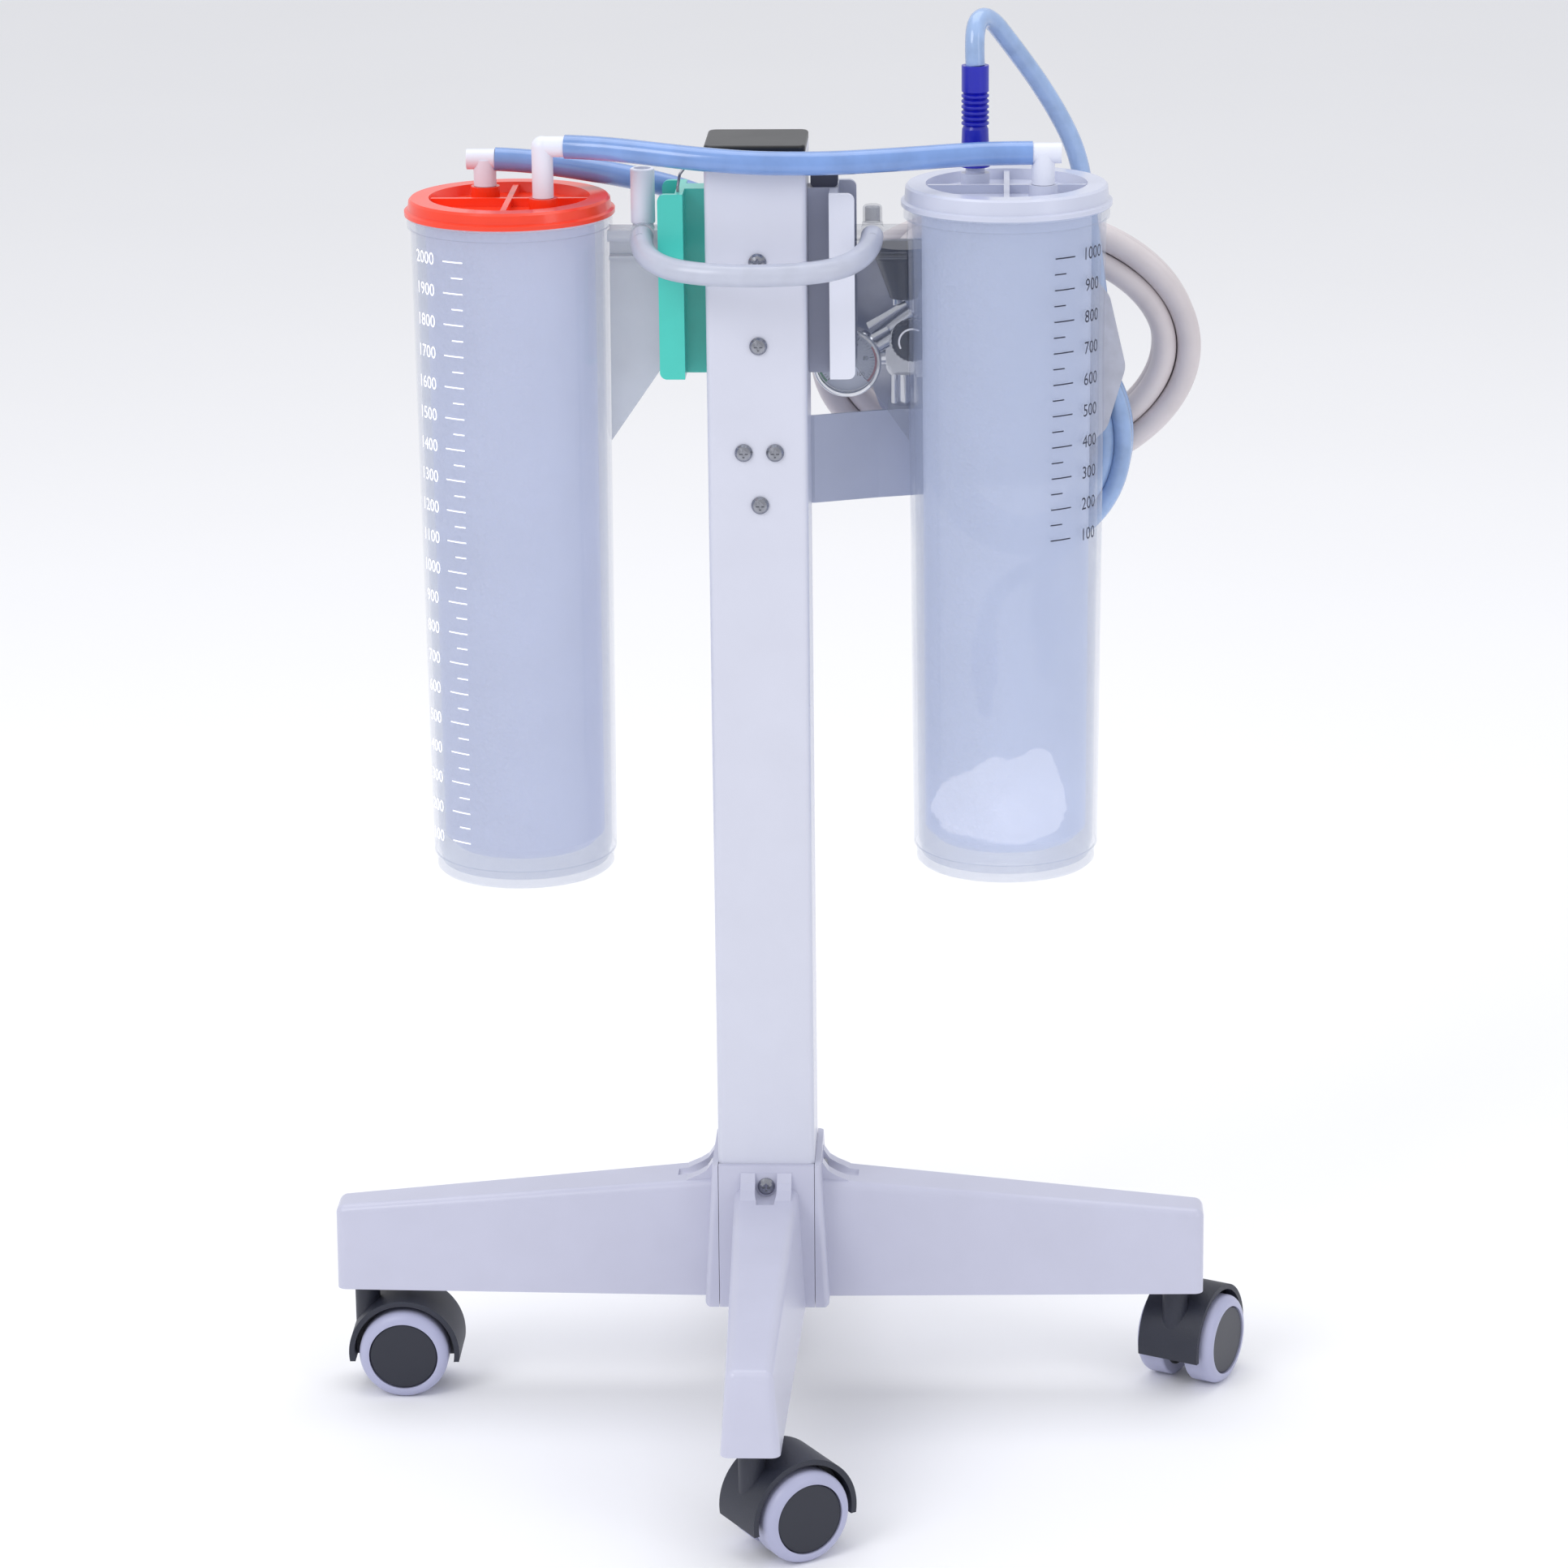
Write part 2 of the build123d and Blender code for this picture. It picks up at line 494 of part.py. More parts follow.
def strip(points, low, high):
    """A bent sheet: a plan line thickened to both sides, to the sheet's thickness."""
    line = Polyline(*[(x, y, low) for x, y in points])
    return extrude(make_face(offset(line, ARM_THICK / 2, kind=Kind.INTERSECTION)), high - low)


HANGER_FRONT = 75.0
sheet = COLUMN / 2 + ARM_THICK / 2
corner = HANGER_FRONT - ARM_THICK / 2
arm_line = [(-20, sheet), (28, sheet), (62, 40), (86.5, 47), (86.5, corner), (99, corner)]
arm = strip(arm_line, ARM_LOW, ARM_TOP)
arm += block((67, 43, ARM_TOP - 2), (87.4, BODY_REAR, ARM_TOP))
for x, z in ARM_SCREWS:
    arm -= rod((x, 20, z), (x, 30, z), SCREW_R + 0.1)
save("regulator_arm", arm)

PEG_R = 4.0
outline = [(50, 636), (50, 580), (62, 546), (85, 512), (120, 500), (160, 508), (186, 533), (196, 567),
           (187, 606), (165, 632), (120, 640)]
face = make_face(Polyline(*[(x, HANGER_FRONT, z) for x, z in outline], close=True))
hanger = extrude(fillet(face.vertices(), 12.0), ARM_THICK, dir=(0, 1, 0))
hanger -= rod((CONE_X, 70, OUTLET_Z), (CONE_X, 80, OUTLET_Z), 7.5)
for (x, y, z), (_, up), depth in ((SUCTION_COIL, SUCTION_COIL_IN, SUCTION_COIL_DEPTH),
                                  (HOSE_COIL, HOSE_COIL_IN, HOSE_COIL_DEPTH)):
    height = z + up - PEG_R - 0.3
    back = y + depth / 2 + 1
    hanger += rod((x, HANGER_FRONT + 1, height), (x, back, height), PEG_R)
    hanger += rod((x, back, height), (x, back + 2.5, height), 6.5)
save("hose_hook", hanger)

# ---- tubes and hoses ----------------------------------------------------
TANDEM = [(-99.4, -14, ELBOW_Z), (-86, -15.5, 703.6), (-66, -23, 703), (-45, -30.5, 701.8), (-21, -35.5, 700),
          (4, -37.8, 698.7), (38, -33.5, 697.8), (72, -24, 698), (104, -16.8, 699), (125, -14.4, 699.7),
          (144.5, -14, RIGHT_RUN_Z)]
save("tandem_tube", route("tandem_tube", TUBE_R, TANDEM))

VACUUM = [(-139.7, 22, LEFT_RUN_Z), (-125, 22.6, 690.4), (-108, 25, 687.8), (-89, 28.8, 684), (-70, 32.6, 679.8),
          (-50, 37, 674.5), (-30, 41, 667), (-12, 45.5, 655), (3, 50.5, 638), (14, 55.5, 619), (23, 59, 600),
          (34, 60.3, 583.5), (INLET_X, 60, gz)]
save("vacuum_tube", route("vacuum_tube", TUBE_R, VACUUM))

half_loop = [(NIPPLE_X, -5, NIPPLE_Z), (NIPPLE_X, -24, 651.5), (50, -43.5, 646.2), (31, -55, 644.2)]
LOOP = [(-x, y, z) for x, y, z in half_loop] + [(0, -59, 643.6)] + half_loop[::-1]
save("loop_tube", route("loop_tube", LOOP_R, LOOP))

SUCTION = [(px, py, PATIENT_TOP), (px - 0.6, py + 0.6, 752.5), (px + 1, py + 9, 763), (px + 7.5, py + 20, 762.5),
           (px + 18.5, py + 29.5, 747), (148.5, 60, 724.5), (161.5, 66.5, 702), (169.5, 71, 683), (173.5, 77, 659),
           (177, 83, 635), (180, 88, 611), (183, 89.2, 589), (188, 89, 567)]
SUCTION_TAIL = [(103, 84, 500), (106.5, 84, 478), (113, 83, 456), (118, 82, 434), (119.5, 82, 412)]
save("suction_tube", route("suction_tube", SUCTION_R, SUCTION), route("suction_tail", SUCTION_R, SUCTION_TAIL))

HOSE = [(CONE_X, 79, OUTLET_Z), (CONE_X, 95, 628.4), (82, 109, 631), (97, 115, 637)]
HOSE_TAIL = [(127, 107, 508), (142, 107, 498), (150.5, 107, 480), (153.5, 107, 458), (154, 107, 436)]
save("vacuum_hose", route("vacuum_hose", HOSE_R, HOSE), route("hose_tail", HOSE_R, HOSE_TAIL))


def ring(centre, outer, inner, depth, edge):
    """The outer shape of a hung coil: a flat ring with rounded edges, its axis along Y."""
    face = Plane.XZ * (Ellipse(*outer) - Ellipse(*inner))
    solid = extrude(face, depth / 2, both=True)
    return Pos(*centre) * fillet(solid.edges().filter_by(lambda e: e.length > 100), edge)


save("suction_coil", ring(SUCTION_COIL, SUCTION_COIL_OUT, SUCTION_COIL_IN, SUCTION_COIL_DEPTH, 5.0))
save("hose_coil", ring(HOSE_COIL, HOSE_COIL_OUT, HOSE_COIL_IN, HOSE_COIL_DEPTH, 6.0))

sx, sy, sz = SUCTION_TAIL[-1]
finger = turned([(0, sz - 44), (3.6, sz - 44), (4.6, sz - 30), (7.2, sz - 26), (7.2, sz), (0, sz)], (sx, sy))
save("suction_connector", finger - rod((sx, sy, sz - 46), (sx, sy, sz - 12), 2.4))
hx, hy, hz = HOSE_TAIL[-1]
probe = turned([(0, hz - 52), (4.0, hz - 52), (5.0, hz - 50), (5.0, hz - 34), (9.5, hz - 32), (9.5, hz - 8),
                (7.5, hz), (0, hz)], (hx, hy))
save("hose_probe", probe - rod((hx, hy, hz - 53), (hx, hy, hz - 20), 2.5))
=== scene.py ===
import json
from math import cos, degrees, pi, radians, sin

import bmesh
import bpy
from mathutils import Matrix, Vector, noise


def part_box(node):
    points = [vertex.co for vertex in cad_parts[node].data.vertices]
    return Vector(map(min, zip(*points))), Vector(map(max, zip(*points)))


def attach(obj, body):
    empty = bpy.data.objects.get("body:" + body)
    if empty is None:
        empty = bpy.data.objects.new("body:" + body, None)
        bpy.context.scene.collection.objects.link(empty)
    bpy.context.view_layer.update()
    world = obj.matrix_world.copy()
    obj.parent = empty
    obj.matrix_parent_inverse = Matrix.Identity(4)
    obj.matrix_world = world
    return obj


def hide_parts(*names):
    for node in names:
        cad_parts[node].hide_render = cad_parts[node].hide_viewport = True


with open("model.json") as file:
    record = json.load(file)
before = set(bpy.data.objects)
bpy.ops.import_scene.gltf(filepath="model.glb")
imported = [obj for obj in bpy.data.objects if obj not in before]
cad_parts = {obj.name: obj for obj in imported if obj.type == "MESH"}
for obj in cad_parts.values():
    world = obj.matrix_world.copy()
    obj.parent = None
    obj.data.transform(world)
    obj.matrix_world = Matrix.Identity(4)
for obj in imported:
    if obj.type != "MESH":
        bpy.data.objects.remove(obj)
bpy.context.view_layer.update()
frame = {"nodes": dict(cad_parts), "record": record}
MM = 0.001


# ---- helpers ------------------------------------------------------------
def linear(*rgb):
    """A screen colour from 0 to 255 as the linear colour a shader takes."""
    return tuple(((c / 255 + 0.055) / 1.055) ** 2.4 if c > 10 else c / 3294 for c in rgb) + (1.0,)


def finish(name, colour, rough=0.4, metal=0.0, alpha=1.0, vary=0.06, grain=30.0, bump=0.15, bump_scale=500.0,
           depth=0.00015, coat=0.0, pebble=None, second=None, mask=None, emit=0.0):
    """A surface with a little colour variation, uneven gloss and a fine bump, worked out in object space.

    pebble, two X values in metres, swaps the fine bump for pebbles that fade from the first to the second.
    second and mask lay a second colour where the mask, a function of the node tree and the place, gives 1.
    """
    m = bpy.data.materials.new(name)
    m.use_nodes = True
    nt = m.node_tree
    shader = nt.nodes["Principled BSDF"]
    new, link = nt.nodes.new, nt.links.new
    place = new("ShaderNodeTexCoord")
    cloud = new("ShaderNodeTexNoise")
    cloud.inputs["Scale"].default_value = grain
    cloud.inputs["Detail"].default_value = 3.0
    link(place.outputs["Object"], cloud.inputs["Vector"])
    ramp = new("ShaderNodeValToRGB")
    ramp.color_ramp.elements[0].position = 0.3
    ramp.color_ramp.elements[1].position = 0.7
    ramp.color_ramp.elements[0].color = tuple(c * (1 - vary) for c in colour[:3]) + (1,)
    ramp.color_ramp.elements[1].color = tuple(min(1.0, c * (1 + vary)) for c in colour[:3]) + (1,)
    link(cloud.outputs["Fac"], ramp.inputs["Fac"])
    tone = ramp.outputs["Color"]
    if second is not None:
        mix = new("ShaderNodeMix")
        mix.data_type = "RGBA"
        link(mask(nt, place.outputs["Object"]), mix.inputs["Factor"])
        link(tone, mix.inputs["A"])
        mix.inputs["B"].default_value = second
        tone = mix.outputs["Result"]
    link(tone, shader.inputs["Base Color"])
    shader.inputs["Metallic"].default_value = metal
    shader.inputs["Alpha"].default_value = alpha
    shader.inputs["Coat Weight"].default_value = coat
    shader.inputs["Coat Roughness"].default_value = 0.12
    gloss = new("ShaderNodeMapRange")
    gloss.inputs["To Min"].default_value = max(0.02, rough - 0.05)
    gloss.inputs["To Max"].default_value = min(1.0, rough + 0.05)
    link(cloud.outputs["Fac"], gloss.inputs["Value"])
    link(gloss.outputs["Result"], shader.inputs["Roughness"])
    relief = new("ShaderNodeBump")
    relief.inputs["Strength"].default_value = bump
    relief.inputs["Distance"].default_value = depth
    if pebble is None:
        fine = new("ShaderNodeTexNoise")
        fine.inputs["Scale"].default_value = bump_scale
        fine.inputs["Detail"].default_value = 2.0
        link(place.outputs["Object"], fine.inputs["Vector"])
        link(fine.outputs["Fac"], relief.inputs["Height"])
    else:
        cells = new("ShaderNodeTexVoronoi")
        cells.inputs["Scale"].default_value = bump_scale
        link(place.outputs["Object"], cells.inputs["Vector"])
        split = new("ShaderNodeSeparateXYZ")
        link(place.outputs["Object"], split.inputs["Vector"])
        fade = new("ShaderNodeMapRange")
        fade.inputs["From Min"].default_value = pebble[0]
        fade.inputs["From Max"].default_value = pebble[1]
        fade.inputs["To Min"].default_value = 1.0
        fade.inputs["To Max"].default_value = 0.08
        link(split.outputs["X"], fade.inputs["Value"])
        height = new("ShaderNodeMath")
        height.operation = "MULTIPLY"
        link(cells.outputs["Distance"], height.inputs[0])
        link(fade.outputs["Result"], height.inputs[1])
        link(height.outputs["Value"], relief.inputs["Height"])
    link(relief.outputs["Normal"], shader.inputs["Normal"])
    # emit makes the surface glow in its own colour: painted light, since the part is no lamp
    if emit:
        shader.inputs["Emission Color"].default_value = colour
        shader.inputs["Emission Strength"].default_value = emit
    return m


def dress(material, *names):
    """Gives CAD nodes a finish."""
    for name in names:
        o = frame["nodes"][name]
        if not o.material_slots:
            o.data.materials.append(material)
        for held in o.material_slots:
            held.material = material


def piece(name, verts, faces, material, body, smooth=True):
    """A new mesh piece, in metres, that rides on a body."""
    mesh = bpy.data.meshes.new(name)
    mesh.from_pydata(verts, [], faces)
    mesh.materials.append(material)
    mesh.update()
    for face in mesh.polygons:
        face.use_smooth = smooth
    o = bpy.data.objects.new(name, mesh)
    bpy.context.scene.collection.objects.link(o)
    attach(o, body)
    return o


def cord(name, points, radius, material, **facts):
    """A tube whose centre line is one smooth spline through the pull of its points, in millimetres."""
    curve = bpy.data.curves.new(name, "CURVE")
    curve.dimensions = "3D"
    line = curve.splines.new("NURBS")
    line.points.add(len(points) - 1)
    for spot, (x, y, z) in zip(line.points, points):
        spot.co = (x * MM, y * MM, z * MM, 1.0)
    line.order_u = 3
    line.use_endpoint_u = True
    curve.resolution_u = 8
    curve.bevel_depth = radius * MM
    curve.bevel_resolution = 7
    curve.use_fill_caps = True
    curve.materials.append(material)
    o = bpy.data.objects.new(name, curve)
    bpy.context.scene.collection.objects.link(o)
    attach(o, "stand")
    facts.pop("slot")
    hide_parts(*facts.pop("stands_for"))
    return o


def spun(outline, centre, steps=64, wave=None):
    """Points and faces of a profile of (radius, depth) turned about a line along Y, in millimetres."""
    verts, faces = [], []
    for i in range(steps):
        a = 2 * pi * i / steps
        for r, depth in outline:
            r = r * (wave(a, depth) if wave else 1.0)
            verts.append(((centre[0] + r * cos(a)) * MM, depth * MM, (centre[1] + r * sin(a)) * MM))
    n = len(outline)
    for i in range(steps):
        j = (i + 1) % steps
        for k in range(n - 1):
            faces.append((i * n + k, j * n + k, j * n + k + 1, i * n + k + 1))
    return verts, faces


# ---- camera -------------------------------------------------------------
camera_data = bpy.data.cameras.new("camera")
camera_data.lens = 119.32
camera_data.sensor_width = 36.0
camera = bpy.data.objects.new("camera", camera_data)
camera.location = (0.12805, -2.7, 1.16335)
HEADING, LOOKS_DOWN, ROLL = 2.486, 16.70, -0.624
turn = Matrix.Rotation(radians(HEADING), 4, "Z") @ Matrix.Rotation(radians(90 - LOOKS_DOWN), 4, "X")
camera.rotation_euler = (turn @ Matrix.Rotation(radians(ROLL), 4, "Z")).to_euler()
bpy.context.scene.collection.objects.link(camera)
bpy.context.scene.camera = camera

# ---- finishes -----------------------------------------------------------
leg_white = finish("leg_white", linear(196, 197, 216), 0.34, coat=0.25, vary=0.02, bump=0.08, bump_scale=900)
hood_grey = finish("hood_grey", linear(40, 43, 56), 0.5, bump=0.5, bump_scale=1600, depth=0.0003)
bright_steel = finish("bright_steel", linear(150, 152, 160), 0.24, metal=1.0, vary=0.1, grain=300, bump=0.06)
column_white = finish("column_white", linear(208, 210, 224), 0.36, vary=0.015, bump=0.12, bump_scale=1300,
                      coat=0.3)
black = finish("black", linear(14, 15, 20), 0.34, vary=0.15, bump=0.2, bump_scale=1200)
latch_grey = finish("latch_grey", linear(48, 52, 72), 0.4, bump=0.2, bump_scale=1000)
teal = finish("teal", linear(66, 198, 184), 0.3, vary=0.05, bump=0.12, bump_scale=800, coat=0.3)

FLANGE_Y = -0.01445       # just behind the inner face of the holder's front flange


def front_mask(nt, place):
    """1 on the holder's front flange, 0 behind it."""
    split = nt.nodes.new("ShaderNodeSeparateXYZ")
    nt.links.new(place, split.inputs["Vector"])
    step = nt.nodes.new("ShaderNodeMath")
    step.operation = "LESS_THAN"
    nt.links.new(split.outputs["Y"], step.inputs[0])
    step.inputs[1].default_value = FLANGE_Y
    return step.outputs["Value"]


grey_plastic = finish("grey_plastic", linear(166, 170, 188), 0.4, vary=0.04, bump=0.2, bump_scale=900,
                      second=linear(222, 224, 236), mask=front_mask)
clear_jar = finish("clear_jar", linear(176, 186, 210), 0.05, alpha=0.27, vary=0.03, bump=0.02, coat=0.6)
clear_bracket = finish("clear_bracket", linear(120, 128, 150), 0.08, alpha=0.2, vary=0.05, bump=0.05,
                       coat=0.5)
hazy_bracket = finish("hazy_bracket", linear(196, 202, 216), 0.2, alpha=0.62, vary=0.05, bump=0.05, coat=0.4)
# The liners glow a little (emit): painted light that stands in for light passing through the frosted bags
left_bag = finish("left_bag", linear(206, 210, 228), 0.34, alpha=0.5, vary=0.03, grain=12, bump=1.0,
                  bump_scale=430, depth=0.0016, pebble=(-0.150, -0.105), emit=0.32)
right_bag = finish("right_bag", linear(204, 212, 232), 0.34, alpha=0.42, vary=0.03, grain=12, bump=1.0,
                   bump_scale=430, depth=0.0016, pebble=(0.112, 0.140), emit=0.32)
red = finish("red", linear(244, 58, 22), 0.3, vary=0.06, bump=0.1, bump_scale=700, coat=0.4)
lid_white = finish("lid_white", linear(204, 208, 226), 0.32, vary=0.03, bump=0.1, bump_scale=700, coat=0.3)
fitting_white = finish("fitting_white", linear(226, 229, 242), 0.34, vary=0.03, bump=0.1, bump_scale=700)
blue_plastic = finish("blue_plastic", linear(6, 14, 170), 0.3, vary=0.08, bump=0.1, bump_scale=700, coat=0.3)
blue_rubber = finish("blue_rubber", linear(116, 150, 208), 0.2, vary=0.1, grain=60, bump=0.08, coat=0.6)
milky = finish("milky", linear(196, 200, 216), 0.3, alpha=0.9, vary=0.05, grain=70, bump=0.12, coat=0.3)
clear_rubber = finish("clear_rubber", linear(158, 186, 228), 0.16, alpha=0.86, vary=0.12, grain=80, bump=0.2,
                      bump_scale=250, coat=0.7)
hose_white = finish("hose_white", linear(212, 204, 206), 0.42, vary=0.05, grain=40, bump=0.15, bump_scale=500)
chrome = finish("chrome", linear(214, 216, 222), 0.1, metal=1.0, vary=0.05, bump=0.03)
glass = finish("glass", linear(235, 240, 250), 0.04, alpha=0.14, vary=0.02, bump=0.01, coat=0.8)
sheet_grey = finish("sheet_grey", linear(186, 192, 212), 0.42, vary=0.03, bump=0.18, bump_scale=1000)
hanger_steel = finish("hanger_steel", linear(188, 190, 202), 0.3, metal=0.85, vary=0.08, grain=120, bump=0.06)
# The white print glows (emit): painted light on top of the print's own colour
print_white = finish("print_white", linear(250, 250, 255), 0.4, vary=0.02, bump=0.02, emit=0.35)
print_dark = finish("print_dark", linear(30, 33, 56), 0.5, vary=0.04, bump=0.02)
dial_white = finish("dial_white", linear(232, 238, 252), 0.4, vary=0.01, bump=0.02)
arc_green = finish("arc_green", linear(30, 160, 90), 0.4, vary=0.04, bump=0.02)
arc_red = finish("arc_red", linear(214, 40, 44), 0.4, vary=0.04, bump=0.02)
# The sachet glows strongly (emit): painted light that makes it show bright through the liner
sachet = finish("sachet", linear(238, 236, 238), 0.7, vary=0.05, grain=90, bump=0.4, bump_scale=260,
                depth=0.0008, emit=0.9)

for heading in ("left", "right", "front", "rear"):
    dress(leg_white, "leg_" + heading)
    dress(hood_grey, "caster_hood_" + heading)
    dress(bright_steel, "caster_axle_" + heading)
dress(bright_steel, "caster_stems", "pan_screws", "wire_clip")
dress(column_white, "column")
dress(black, "column_cap", "regulator_adaptor")
dress(latch_grey, "holder_latch")
dress(teal, "left_holder")
dress(grey_plastic, "right_holder")
dress(clear_jar, "left_canister", "right_canister")
dress(clear_bracket, "right_bracket", "bracket_cap")
dress(hazy_bracket, "left_bracket")
dress(left_bag, "left_liner")
dress(right_bag, "right_liner")
dress(red, "left_lid")
dress(lid_white, "right_lid")
dress(fitting_white, "left_elbow", "left_tee", "right_tee", "loop_connector", "hose_probe")
dress(blue_plastic, "patient_connector", "suction_connector")
dress(chrome, "regulator_body", "gauge_case")
dress(glass, "gauge_lens")
dress(black, "gauge_needle")
dress(sheet_grey, "regulator_arm")
dress(hanger_steel, "hose_hook")

COVER_R = 0.01905         # in the gap between a wheel's round cover and its rim


def wheel_finish(name, centre, axis):
    """Pale rim and tread, darker cover: told apart by the distance from the axle."""
    def mask(nt, place):
        new, link = nt.nodes.new, nt.links.new
        away = new("ShaderNodeVectorMath")
        away.operation = "SUBTRACT"
        link(place, away.inputs[0])
        away.inputs[1].default_value = centre
        across = new("ShaderNodeVectorMath")
        across.operation = "CROSS_PRODUCT"
        link(away.outputs["Vector"], across.inputs[0])
        across.inputs[1].default_value = axis
        far = new("ShaderNodeVectorMath")
        far.operation = "LENGTH"
        link(across.outputs["Vector"], far.inputs[0])
        step = new("ShaderNodeMath")
        step.operation = "LESS_THAN"
        link(far.outputs["Value"], step.inputs[0])
        step.inputs[1].default_value = COVER_R
        return step.outputs["Value"]
    return finish(name, linear(176, 178, 206), 0.36, vary=0.05, bump=0.15, bump_scale=900,
                  second=linear(34, 37, 50), mask=mask)


for joint in frame["record"]["behaviour"]["joints"]:
    if joint["name"].startswith("wheel_"):
        dress(wheel_finish("finish_" + joint["child"], joint["pos_m"], joint["axis"]), joint["child"])


# ---- cords --------------------------------------------------------------
def turns(centre, first_angle, last_angle, layers):
    """Points round a hung coil, clockwise from the front. Each layer is (half width, half height, depth)."""
    x, y, z = centre
    per_turn = 16
    count = round((first_angle - last_angle) / 360 * per_turn)
    points = []
    for i in range(count + 1):
        done = i * 360 / per_turn
        at = min(int(done // 360), len(layers) - 1)
        share = max(0.0, min(1.0, (done - 360 * at - 270) / 90)) if at + 1 < len(layers) else 0.0
        here, after = layers[at], layers[min(at + 1, len(layers) - 1)]
        a, b, d = (p + (q - p) * share for p, q in zip(here, after))
        wander = 0.8 * sin(i * 0.83 + x)
        angle = radians(first_angle - done)
        points.append((x + (a + wander) * cos(angle), y + d, z + (b - wander) * sin(angle)))
    return points


ELBOW_Z, RIGHT_RUN_Z, LEFT_RUN_Z = 703.8, 699.6, 691.2
TANDEM = [(-99.4, -14, ELBOW_Z), (-86, -15.5, 703.6), (-66, -23, 703), (-45, -30.5, 701.8), (-21, -35.5, 700),
          (4, -37.8, 698.7), (38, -33.5, 697.8), (72, -24, 698), (104, -16.8, 699), (125, -14.4, 699.7),
          (144.5, -14, RIGHT_RUN_Z)]
cord("tandem_line", TANDEM, 6.25, blue_rubber, slot="blue_tube", stands_for=["tandem_tube"],
     length=0.250, far_end="object", stiffness="medium", lay="hanging")

VACUUM = [(-139.7, 22, LEFT_RUN_Z), (-125, 22.6, 690.4), (-108, 25, 687.8), (-89, 28.8, 684),
          (-70, 32.6, 679.8), (-50, 37, 674.5), (-30, 41, 667), (-12, 45.5, 655), (3, 50.5, 638),
          (14, 55.5, 619), (23, 59, 600), (34, 60.3, 583.5), (52, 60, 577.5)]
cord("vacuum_line", VACUUM, 6.25, blue_rubber, slot="blue_tube", stands_for=["vacuum_tube"],
     length=0.240, far_end="object", stiffness="medium", lay="hanging")

half_loop = [(60.5, -5, 654.5), (60.5, -24, 651.5), (50, -43.5, 646.2), (31, -55, 644.2)]
LOOP = [(-x, y, z) for x, y, z in half_loop] + [(0, -59, 643.6)] + half_loop[::-1]
cord("bracket_loop", LOOP, 6.0, milky, slot="milky_tube", stands_for=["loop_tube"],
     length=0.186, far_end="object", stiffness="medium", lay="hanging")

px, py, top = 131.0 - 16.6, 22.0, 740.0
SUCTION = [(px, py, top), (px - 0.6, py + 0.6, 752.5), (px + 1, py + 9, 763), (px + 7.5, py + 20, 762.5),
           (px + 18.5, py + 29.5, 747), (148.5, 60, 724.5), (161.5, 66.5, 702), (169.5, 71, 683),
           (173.5, 77, 659), (177, 83, 635), (180, 88, 611), (183, 89.2, 589)]
SUCTION_TURNS = turns((142.5, 89.0, 525.0), 38, 38 - 1440 - 68,
                      [(53.8, 61.8, -5.0), (43.4, 51.4, -5.2), (43.4, 51.4, 5.2), (53.8, 61.8, 5.2)])
SUCTION_END = [(168, 90, 467), (151, 87, 453), (133, 84, 445), (121.5, 82.4, 433), (119.5, 82, 412)]
cord("suction_line", SUCTION + SUCTION_TURNS + SUCTION_END, 5.15, clear_rubber, slot="clear_tube",
     stands_for=["suction_tube", "suction_coil"], length=1.75, far_end="connector", stiffness="medium",
     lay="coiled", with_pieces=[frame["nodes"]["suction_connector"]])

HOSE = [(76, 79, 628), (76, 93, 628.2), (82.5, 106, 632.5)]
HOSE_TURNS = turns((129.6, 115.0, 571.0), 107, 107 - 1440 - 149,
                   [(103.0, 73.0, -6.6), (89.5, 59.5, -6.6), (89.5, 59.5, 6.6), (103.0, 73.0, 6.6)])
HOSE_END = [(176, 112, 493), (163, 108, 476), (155, 107, 456), (154, 107, 436)]
cord("vacuum_hose_line", HOSE + HOSE_TURNS + HOSE_END, 6.5, hose_white, slot="white_hose",
     stands_for=["vacuum_hose", "hose_coil"], length=2.4, far_end="connector", stiffness="medium", lay="coiled",
     with_pieces=[frame["nodes"]["hose_probe"]])

# ---- printed scales -----------------------------------------------------
CANISTER_X, SHELL_Y = 131.0, 5.0
SHELL_FOOT_R, SHELL_FOOT_Z, SHELL_HEIGHT = 52.5, 306.0, 358.5
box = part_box("left_canister")
SHELL_TAPER = ((box[1][0] - box[0][0]) / MM / 2 - SHELL_FOOT_R) / SHELL_HEIGHT
PRINT_GAP = 0.15          # how far the print stands off the wall
LONG_TICK, SHORT_TICK = 12.5, 7.0
ML_STEP, MM_STEP = 100, 16.7
NUMERAL_SIZE = 9.4


def shell_wall(z):
    """Outside radius of a canister's wall at a height."""
    return SHELL_FOOT_R + (z - SHELL_FOOT_Z) * SHELL_TAPER


def glyphs(text, size, squeeze=0.88):
    """The flat outline of a number, centred, in millimetres, as points and faces."""
    curve = bpy.data.curves.new("glyph", "FONT")
    curve.body = text
    curve.size = size
    curve.align_x = "CENTER"
    curve.align_y = "CENTER"
    curve.resolution_u = 3
    o = bpy.data.objects.new("glyph", curve)
    mesh = bpy.data.meshes.new_from_object(o)
    points = [(v.co.x * squeeze, v.co.y) for v in mesh.vertices]
    faces = [tuple(p.vertices) for p in mesh.polygons]
    bpy.data.objects.remove(o)
    bpy.data.curves.remove(curve)
    bpy.data.meshes.remove(mesh)
    return points, faces


def wrapped(shapes, x):
    """Flat shapes, each (points, faces, angle from the front, height), laid on a canister's wall."""
    verts, faces = [], []
    for points, links, angle, z in shapes:
        start = len(verts)
        for u, v in points:
            r = shell_wall(z + v) + PRINT_GAP
            a = radians(angle) + u / r
            verts.append(((x + r * sin(a)) * MM, (SHELL_Y - r * cos(a)) * MM, (z + v) * MM))
        faces += [tuple(start + i for i in f) for f in links]
    return verts, faces


def bar(width, height=0.7):
    """A tick mark, cut across so that it bends with the wall."""
    n = 6
    points = [(width * (i / n - 0.5), h) for i in range(n + 1) for h in (-height / 2, height / 2)]
    return points, [(2 * i, 2 * i + 2, 2 * i + 3, 2 * i + 1) for i in range(n)]


